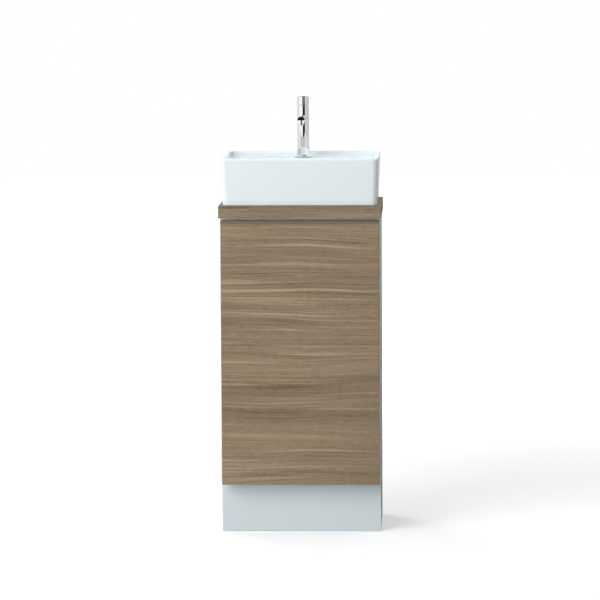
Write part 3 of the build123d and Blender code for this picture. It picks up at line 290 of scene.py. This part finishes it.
# %% Board finishes
def faced(name, tone, gloss):
    board = Finish(name, Specular_IOR_Level=0.25)
    skin = board.noise(board.place, 900.0, 2.0)
    cloud = board.noise(board.place, 5.0, 2.0)
    darker = tuple(0.96 * part for part in tone[:3]) + (1.0,)
    board.feed("Base Color", board.mix(cloud, darker, tone))
    board.feed("Roughness", skin * 0.1 + gloss)
    board.bump(skin, 0.00003, 0.4)
    return board.material


white_finish = faced("white_melamine", colour(236, 236, 235), 0.46)
back_finish = faced("back_face", colour(226, 226, 224), 0.5)
plinth_finish = faced("plinth_face", colour(216, 224, 228), 0.34)

# %% [markdown]
# ## Metals
#
# Polished chrome is almost a mirror with a slightly cool tint, so nearly all of its look is what it reflects.
# Turned brass keeps fine rings, and plated steel fittings are duller with small cloudy marks.

# %% Metal finishes
def metal(name, tone, low, high, brushed=(60.0, 60.0, 60.0)):
    piece = Finish(name, Metallic=1.0)
    marks = piece.noise(piece.vector(piece.x * brushed[0], piece.y * brushed[1], piece.z * brushed[2]), 1.0, 3.0)
    darker = tuple(0.9 * part for part in tone[:3]) + (1.0,)
    piece.feed("Base Color", piece.mix(marks, darker, tone))
    piece.feed("Roughness", marks * (high - low) + low)
    return piece.material


chrome_finish = metal("chrome_plate", (0.95, 0.96, 0.965, 1.0), 0.01, 0.03)
steel_finish = metal("plated_steel", (0.62, 0.62, 0.63, 1.0), 0.22, 0.38, (300.0, 300.0, 900.0))
brass_finish = metal("turned_brass", (0.72, 0.54, 0.26, 1.0), 0.20, 0.32, (80.0, 80.0, 2600.0))

# %% [markdown]
# ## Rubber and plastics
#
# Seals, pads, the latch and the nozzle are small, but they show when the door stands open or the unit is seen
# from below. They are matt, with a faint moulded skin.

# %% Rubber and plastic finishes
def moulded(name, tone, rough):
    piece = Finish(name, Specular_IOR_Level=0.4)
    skin = piece.noise(piece.place, 1400.0, 2.0)
    lighter = tuple(min(1.0, 1.12 * part + 0.004) for part in tone[:3]) + (1.0,)
    piece.feed("Base Color", piece.mix(skin, tone, lighter))
    piece.feed("Roughness", skin * 0.12 + rough)
    piece.bump(skin, 0.00002, 0.5)
    return piece.material


finishes = {
    "ceramic": basin_finish,
    "white_board": white_finish,
    "back_board": back_finish,
    "plinth_face": plinth_finish,
    "chrome": chrome_finish,
    "steel": steel_finish,
    "brass": brass_finish,
    "rubber": moulded("black_rubber", colour(28, 28, 29), 0.6),
    "sealant": moulded("white_sealant", colour(228, 230, 230), 0.4),
    "grey_plastic": moulded("grey_plastic", colour(196, 198, 200), 0.42),
    "dark_plastic": moulded("dark_plastic", colour(150, 152, 154), 0.3),
}


def dress(piece, finish):
    """Give a piece one finish in place of what it had."""
    piece.data.materials.clear()
    piece.data.materials.append(finish)


slots = {row["node"]: row["material_slot"] for row in frame["record"]["subparts"]}
for name, node in nodes.items():
    dress(node, finishes.get(slots[name], door_finish))
dress(nodes["counter"], counter_finish)
print("dressed", len(nodes), "nodes with", len(finishes) + 2, "finishes")

# %% [markdown]
# ## Modelling by hand, in code
#
# The small pieces are modelled as one would by hand: add a primitive, go into edit mode, select by eye, extrude
# and resize. In code, selecting by eye becomes a test on each face's middle and normal. `begin` starts a piece
# and puts its place into the mesh, `pick` selects faces, `grow` extrudes them along Z and resizes them about it,
# and `finish_piece` leaves edit mode, turns the normals outwards and smooths the shading.

# %% Modelling helpers
def begin(shape, name, **settings):
    """Add a primitive with nothing else selected, and go into edit mode with all of it selected."""
    bpy.ops.object.select_all(action="DESELECT")
    getattr(bpy.ops.mesh, "primitive_" + shape + "_add")(**settings)
    piece = bpy.context.object
    piece.name = name
    bpy.ops.object.transform_apply(location=True, rotation=True, scale=True)
    bpy.ops.object.mode_set(mode="EDIT")
    return piece


def pick(piece, wanted):
    """Select the faces whose middle and normal pass the test."""
    bpy.ops.mesh.select_mode(type="FACE")
    bpy.ops.mesh.select_all(action="DESELECT")
    mesh = bmesh.from_edit_mesh(piece.data)
    for face in mesh.faces:
        face.select_set(bool(wanted(face.calc_center_median(), face.normal)))
    mesh.select_flush_mode()
    bmesh.update_edit_mesh(piece.data)


def grow(rise, ratio=1.0):
    """Extrude the selected faces up Z, then resize them about Z."""
    bpy.ops.mesh.extrude_region_move(TRANSFORM_OT_translate={"value": (0.0, 0.0, rise)})
    bpy.ops.transform.resize(value=(ratio, ratio, 1.0), center_override=(0.0, 0.0, 0.0))


def finish_piece(piece, smooth=35):
    """Leave edit mode, with normals outwards and soft edges smooth."""
    bpy.ops.mesh.select_all(action="SELECT")
    bpy.ops.mesh.normals_make_consistent(inside=False)
    bpy.ops.object.mode_set(mode="OBJECT")
    bpy.ops.object.shade_smooth_by_angle(angle=math.radians(smooth))
    return piece


def cut(piece, cutter):
    """Cut one solid out of another and remove the cutter."""
    bpy.ops.object.select_all(action="DESELECT")
    bpy.context.view_layer.objects.active = piece
    piece.select_set(True)
    bpy.ops.object.modifier_add(type="BOOLEAN")
    piece.modifiers[-1].object = cutter
    bpy.ops.object.modifier_apply(modifier=piece.modifiers[-1].name)
    bpy.data.objects.remove(cutter)
    bpy.ops.object.shade_smooth_by_angle(angle=math.radians(35))


def solids_of(node):
    """The places of the vertices of each separate solid in a node."""
    owner = {}

    def root(key):
        while owner[key] != key:
            key = owner[key]
        return key

    mesh = nodes[node].data
    keys = [tuple(round(part, 5) for part in vertex.co) for vertex in mesh.vertices]
    for key in keys:
        owner.setdefault(key, key)
    for polygon in mesh.polygons:
        first = root(keys[polygon.vertices[0]])
        for vertex in polygon.vertices[1:]:
            owner[root(keys[vertex])] = first
    groups = {}
    for key in owner:
        groups.setdefault(root(key), []).append(Vector(key))
    return list(groups.values())


print("solids in hinge_cups:", len(solids_of("hinge_cups")))

# %% [markdown]
# ## Screws
#
# Small steel screws hold the hinges, the latch and the brackets. A plain pin would do from far away, but the
# head's domed rim and its cross recess are what tells the eye that it is a screw. Each is grown from a small disc
# at its tip: two short steps for each ridge of the thread, then the seat, the rim and the dome of the head. The
# recess is cut by a tapered cross, made from a cube whose four sides are extruded. The head and the length are
# read from the first solid of each kind, and each place from the solid that the screw stands for; the shank and
# the thread keep one size.

# %% Measuring a screw
THREAD_PITCH = 0.0012


def screw_frame(places, axis, head_way):
    """Seat, direction of the head and sizes of a screw, from the places on its solid."""
    low = Vector([min(place[i] for place in places) for i in range(3)])
    high = Vector([max(place[i] for place in places) for i in range(3)])
    spans = high - low
    axis = max(range(3), key=lambda i: spans[i]) if axis is None else axis
    middle = (low + high) / 2

    def reach(place):
        return math.dist([place[i] for i in range(3) if i != axis], [middle[i] for i in range(3) if i != axis])

    widest = max(reach(place) for place in places)
    heads = [place[axis] for place in places if reach(place) > 0.9 * widest]
    if head_way is None:
        head_way = 1 if sum(heads) / len(heads) > middle[axis] else -1
    top = high[axis] if head_way > 0 else low[axis]
    headless = max(heads) - min(heads) > 0.9 * spans[axis]
    seat = top if headless else head_way * min(head_way * value for value in heads)
    way = Vector([head_way if i == axis else 0 for i in range(3)])
    start = middle.copy()
    start[axis] = seat
    return start, way, widest, abs(top - seat), spans[axis] - abs(top - seat)


# %% Modelling a screw
SHANK_RADIUS = 0.00175
ROOT_SHARE = 0.72              # core of the thread over its crest
TIP_SHARE = 0.30


def cross_cutter(span, web, depth, top):
    """A tapered cross, as long as span and as wide as web in each arm, down from top."""
    cutter = begin("cube", "cross_cutter", size=1.0, scale=(web, web, 2 * depth), location=(0.0, 0.0, top))
    pick(cutter, lambda middle, normal: abs(normal.z) < 0.5)
    bpy.ops.mesh.extrude_faces_move(TRANSFORM_OT_shrink_fatten={"value": (span - web) / 2})
    pick(cutter, lambda middle, normal: normal.z < -0.5)
    bpy.ops.transform.resize(value=(0.45, 0.45, 1.0), center_override=(0.0, 0.0, top))
    return finish_piece(cutter)


def screw(name, head, head_height, length):
    """A screw along Z with its seat at zero, its head up and its thread down."""
    tip = TIP_SHARE * SHANK_RADIUS
    core = ROOT_SHARE * SHANK_RADIUS
    piece = begin("cylinder", name, vertices=20, radius=tip, depth=0.0004, location=(0.0, 0.0, 0.0002 - length))
    pick(piece, lambda middle, normal: normal.z > 0.5)
    turns = int(length / THREAD_PITCH)
    step = (length - 0.0004) / turns / 2
    width = tip
    for _ in range(turns):
        grow(step, SHANK_RADIUS / width)
        grow(step, core / SHANK_RADIUS)
        width = core
    if head_height > 0:
        grow(0.0, head / core)
        grow(0.45 * head_height)
        grow(0.35 * head_height, 0.86)
        grow(0.20 * head_height, 0.70)
    else:
        grow(0.0, head / core)
        grow(0.0004)
    finish_piece(piece, 50)
    depth = max(0.8 * head_height, 0.0009)
    cut(piece, cross_cutter(1.10 * head, 0.30 * head, depth, max(head_height, 0.0004)))
    return piece


# %% Screws in their places
def place_screws(node, body, axis=None, head_way=None):
    """Stand a screw for each solid of a node, modelled once and copied."""
    pattern = None
    for number, places in enumerate(solids_of(node)):
        seat, way, head, head_height, length = screw_frame(places, axis, head_way)
        if pattern is None:
            pattern = screw(node + "_pattern", head, head_height, length)
        copy = pattern.copy()
        copy.data = pattern.data.copy()
        copy.name = "%s_%d" % (node, number + 1)
        turn = way.to_track_quat("Z", "Y").to_matrix().to_4x4() @ Matrix.Rotation(0.6 * number, 4, "Z")
        copy.data.transform(Matrix.Translation(seat) @ turn)
        bpy.context.scene.collection.objects.link(copy)
        dress(copy, steel_finish)
        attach(copy, body)
        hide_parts(node)
    bpy.data.objects.remove(pattern)
    print(node, number + 1, "screws, head", round(2000 * head, 2), "mm, length", round(1000 * length, 1), "mm")


for node in ("counter_screws", "bracket_screws", "latch_screws", "plate_screws"):
    place_screws(node, "cabinet")
place_screws("arm_screws", "cabinet", axis=0)
place_screws("cup_screws", "door")
place_screws("strike_screw", "door", head_way=1)
place_screws("handle_screw", "valve_handle", axis=1)

# %% [markdown]
# ## The outlet's screen
#
# A fine steel screen sits in the mouth of the spout and breaks the jet. It is a small grid of faces, trimmed to
# the round of the nozzle's bore, and the wireframe modifier turns its edges into wires.

# %% Stream screen
SCREEN_MESHES = 9
SCREEN_WIRE = 0.00025
BORE_SHARE = 0.33              # bore radius over the nozzle's outside width
FORMER_RISE = 0.0015           # lower edge of the nozzle's cross bars above its mouth

mouth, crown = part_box("spout_nozzle")
bore = BORE_SHARE * (crown[0] - mouth[0])
centre = ((mouth[0] + crown[0]) / 2, (mouth[1] + crown[1]) / 2, mouth[2] + FORMER_RISE - SCREEN_WIRE / 2)
screen = begin("grid", "stream_screen", x_subdivisions=SCREEN_MESHES, y_subdivisions=SCREEN_MESHES,
               size=2 * bore, location=centre)
pick(screen, lambda middle, normal: math.dist(middle[:2], centre[:2]) > bore)
bpy.ops.mesh.delete(type="FACE")
bpy.ops.object.mode_set(mode="OBJECT")
bpy.ops.object.modifier_add(type="WIREFRAME")
screen.modifiers[-1].thickness = SCREEN_WIRE
bpy.ops.object.modifier_apply(modifier=screen.modifiers[-1].name)
dress(screen, steel_finish)
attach(screen, "cabinet")
print("stream screen:", len(screen.data.polygons), "faces")

# %% [markdown]
# ## The nozzle's sleeve
#
# Above its dark lip the outlet nozzle is chromed like the rest of the tap. The sleeve is a ring of faces, made from
# an open cylinder that is given a wall by extruding it and shrinking the copy.

# %% Nozzle sleeve
SLEEVE_PROUD = 0.00003         # over the nozzle's own wall
SLEEVE_LIP = 0.0012            # the lip that stays bare

sleeve_radius = (crown[0] - mouth[0]) / 2 + SLEEVE_PROUD
sleeve_foot, sleeve_head = mouth[2] + SLEEVE_LIP, crown[2]
sleeve = begin("cylinder", "nozzle_sleeve", vertices=64, radius=sleeve_radius, depth=sleeve_head - sleeve_foot,
               end_fill_type="NOTHING", location=(centre[0], centre[1], (sleeve_foot + sleeve_head) / 2))
bpy.ops.mesh.extrude_region_shrink_fatten(TRANSFORM_OT_shrink_fatten={"value": -2 * SLEEVE_PROUD})
finish_piece(sleeve)
dress(sleeve, chrome_finish)
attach(sleeve, "cabinet")
print("nozzle sleeve:", len(sleeve.data.polygons), "faces")

# %% [markdown]
# ## The studio
#
# The photograph is a cut-out: white all round, the front evenly lit from the left, the right side falling into
# shade towards the floor. A dim world gives the base level, one large lamp at the front left lights the front,
# and a small one high on the right lights the right side from above, so that it darkens downwards. A weak lamp
# behind keeps the back readable. Where the camera or a mirror looks past the unit it sees plain white, so the
# world and the floor ask which kind of ray has come.

# %% Rays that see the backdrop
def node_of(tree, kind, **settings):
    made = tree.nodes.new(kind)
    for name, value in settings.items():
        setattr(made, name, value)
    return made


def straight_rays(tree):
    """1 where the camera, a mirror or glass looks, 0 where light is gathered for a matt surface."""
    path = node_of(tree, "ShaderNodeLightPath")
    most = path.outputs["Is Camera Ray"]
    for other in ("Is Glossy Ray", "Is Transmission Ray"):
        larger = node_of(tree, "ShaderNodeMath", operation="MAXIMUM")
        tree.links.new(most, larger.inputs[0])
        tree.links.new(path.outputs[other], larger.inputs[1])
        most = larger.outputs[0]
    return most


def blend_shaders(tree, factor, first, second):
    mixed = node_of(tree, "ShaderNodeMixShader")
    for socket, link in zip(mixed.inputs, (factor, first, second)):
        tree.links.new(link, socket)
    return mixed.outputs[0]


# %% World
AMBIENT = 0.44
SHADE_SIDE = 0.18              # what the world gives from the far right
CEILING_START = 0.80           # height on the unit sphere where mirrors start to see the dark ceiling
CEILING_END = 0.90

world = bpy.data.worlds.new("studio")
bpy.context.scene.world = world
world.use_nodes = True
sky = world.node_tree
sky.nodes.clear()
wall = node_of(sky, "ShaderNodeBackground")
wall.inputs["Color"].default_value = (1.0, 1.0, 1.0, 1.0)
ceiling = node_of(sky, "ShaderNodeBackground")
ceiling.inputs["Strength"].default_value = 0.02
gathered = node_of(sky, "ShaderNodeBackground")
gathered.inputs["Color"].default_value = (0.96, 0.985, 1.0, 1.0)
direction = node_of(sky, "ShaderNodeTexCoord")
parts = node_of(sky, "ShaderNodeSeparateXYZ")
sky.links.new(direction.outputs["Generated"], parts.inputs[0])
sideways = node_of(sky, "ShaderNodeMapRange", interpolation_type="SMOOTHSTEP")
sideways.inputs["To Min"].default_value = AMBIENT
sideways.inputs["To Max"].default_value = SHADE_SIDE
sky.links.new(parts.outputs["X"], sideways.inputs["Value"])
sky.links.new(sideways.outputs[0], gathered.inputs["Strength"])
fade = node_of(sky, "ShaderNodeMapRange", interpolation_type="SMOOTHSTEP")
fade.inputs["From Min"].default_value = CEILING_START
fade.inputs["From Max"].default_value = CEILING_END
sky.links.new(parts.outputs["Z"], fade.inputs["Value"])
room = blend_shaders(sky, fade.outputs[0], wall.outputs[0], ceiling.outputs[0])
seen = blend_shaders(sky, straight_rays(sky), gathered.outputs[0], room)
output = node_of(sky, "ShaderNodeOutputWorld")
sky.links.new(seen, output.inputs["Surface"])
print("world: gathered light", AMBIENT, "backdrop 1.0")

# %% Floor
FLOOR_TONE = 0.30
PAINTED_FLOOR_SHADE = 0.10             # painted shade: the floor's tone on the unit's right, where the unit's shadow falls, so less light bounces onto the right side panel
NEAR_GLOW = 0.22                # what the camera is given on top of the lamps' light, close to the unit
FAR_GLOW = 0.80

bpy.ops.object.select_all(action="DESELECT")
bpy.ops.mesh.primitive_plane_add(size=24.0)
floor = bpy.context.object
floor.name = "floor"
floor_finish = Finish("floor_finish", Roughness=0.95, Specular_IOR_Level=0.0)
mottle = floor_finish.noise(floor_finish.place, 3.0) * 0.1
# Painted shade: for gathered light the floor is darker on the unit's right, standing in for the unit's shadow
# there.
floor_finish.feed("Base Color", floor_finish.mix(floor_finish.x.step(0.10, 0.30) + mottle,
                                                 (FLOOR_TONE, FLOOR_TONE, FLOOR_TONE, 1.0),
                                                 (PAINTED_FLOOR_SHADE, PAINTED_FLOOR_SHADE, PAINTED_FLOOR_SHADE, 1.0)))
ground = floor_finish.tree
paper = node_of(ground, "ShaderNodeBsdfPrincipled")
for socket, value in (("Base Color", (1.0, 1.0, 1.0, 1.0)), ("Roughness", 1.0), ("Specular IOR Level", 0.0),
                      ("Emission Strength", 1.0)):
    paper.inputs[socket].default_value = value
distance = floor_finish.x * floor_finish.x + floor_finish.y * floor_finish.y
glow = floor_finish.mix(distance.step(0.1, 6.0), (NEAR_GLOW, NEAR_GLOW, NEAR_GLOW, 1.0),
                        (FAR_GLOW, FAR_GLOW, FAR_GLOW, 1.0))
ground.links.new(glow.socket, paper.inputs["Emission Color"])
shown = blend_shaders(ground, straight_rays(ground), floor_finish.shader.outputs[0], paper.outputs[0])
surface = next(n for n in ground.nodes if n.type == "OUTPUT_MATERIAL")
ground.links.new(shown, surface.inputs["Surface"])
dress(floor, floor_finish.material)


# %% Lamps
def lamp(name, place, aim, size, watts):
    """A rectangular soft lamp that looks at a point and doesn't show in mirrors."""
    data = bpy.data.lights.new(name, "AREA")
    data.shape = "RECTANGLE"
    data.size, data.size_y = size
    data.energy = watts
    made = bpy.data.objects.new(name, data)
    bpy.context.scene.collection.objects.link(made)
    line = Vector(aim) - Vector(place)
    made.matrix_world = Matrix.Translation(place) @ line.to_track_quat("-Z", "Y").to_matrix().to_4x4()
    made.visible_glossy = False
    return made


lamp("front_left", (-2.3, -2.9, 1.75), (0.0, -0.1, 0.5), (3.0, 3.0), 114)
lamp("front_low", (0.55, -3.4, 0.45), (0.1, -0.1, 0.45), (0.6, 0.6), 18)
lamp("right_high", (0.80, 0.05, 1.45), (0.17, 0.0, 0.75), (0.4, 0.4), 2.8)
lamp("overhead", (0.0, 0.1, 2.6), (0.0, 0.05, 0.8), (1.2, 1.0), 5)
lamp("behind", (-1.6, 2.2, 1.4), (0.0, 0.15, 0.5), (1.2, 1.2), 22)





# %% Cards that only mirrors see
def card(name, lowest, highest, plane, low, high=None, sideways=False):
    """An upright card that only mirrors see, from its lowest to its highest corner, low to high in tone.

    Its plane is a Y, and the corners are X and Z; turned sideways, its plane is an X and the corners Y and Z."""
    high = low if high is None else high
    along, rise = (lowest[0] + highest[0]) / 2, (lowest[1] + highest[1]) / 2
    bpy.ops.object.select_all(action="DESELECT")
    bpy.ops.mesh.primitive_plane_add(size=1.0, rotation=(math.radians(90), 0.0, math.radians(90 * sideways)),
                                     location=(plane, along, rise) if sideways else (along, plane, rise))
    made = bpy.context.object
    made.name = name
    made.scale = (highest[0] - lowest[0], highest[1] - lowest[1], 1.0)
    made.visible_camera = False
    made.visible_diffuse = False
    made.visible_shadow = False
    made.visible_transmission = False
    plain = Finish(name, Roughness=1.0, Specular_IOR_Level=0.0, Base_Color=(0.0, 0.0, 0.0, 1.0),
                   Emission_Strength=1.0)
    rising = (plain.y + 0.5).clamp() ** 1.6
    plain.feed("Emission Color", plain.mix(rising, (low, low, low, 1.0), (high, high, high, 1.0)))
    dress(made, plain.material)
    return made


card("upper_black", (-0.16, 0.899), (0.973, 2.20), -0.99, 0.18)
card("lower_black", (-0.017, 0.8165), (0.973, 0.899), -0.99, 0.015)
card("thin_black", (-0.0389, 0.85), (-0.0350, 0.89), -0.98, 0.015)
card("right_grey", (0.973, 0.80), (4.2, 3.00), -0.985, 0.70)
card("low_grey", (-1.2, 0.60), (0.98, 0.8165), -0.99, 0.57)
card("low_grey_left", (-8.0, 0.60), (-1.2, 0.725), -0.99, 0.57)
card("low_grey_right", (0.98, 0.60), (4.2, 0.80), -0.985, 0.76)
card("right_wall", (-0.98, 0.70), (1.5, 2.50), 3.2, 0.54, sideways=True)
card("right_wall_low", (-0.98, 0.30), (1.5, 0.70), 3.2, 0.76, sideways=True)
card("left_wall", (-0.3, 0.30), (2.0, 2.50), -3.4, 0.74, sideways=True)
card("side_card", (0.05, 0.0), (2.65, 0.84), 0.19, 0.05, 0.62)
card("right_screen", (0.40, 0.60), (2.80, 1.50), 1.50, 0.60)
bpy.context.scene.view_settings.view_transform = "Standard"
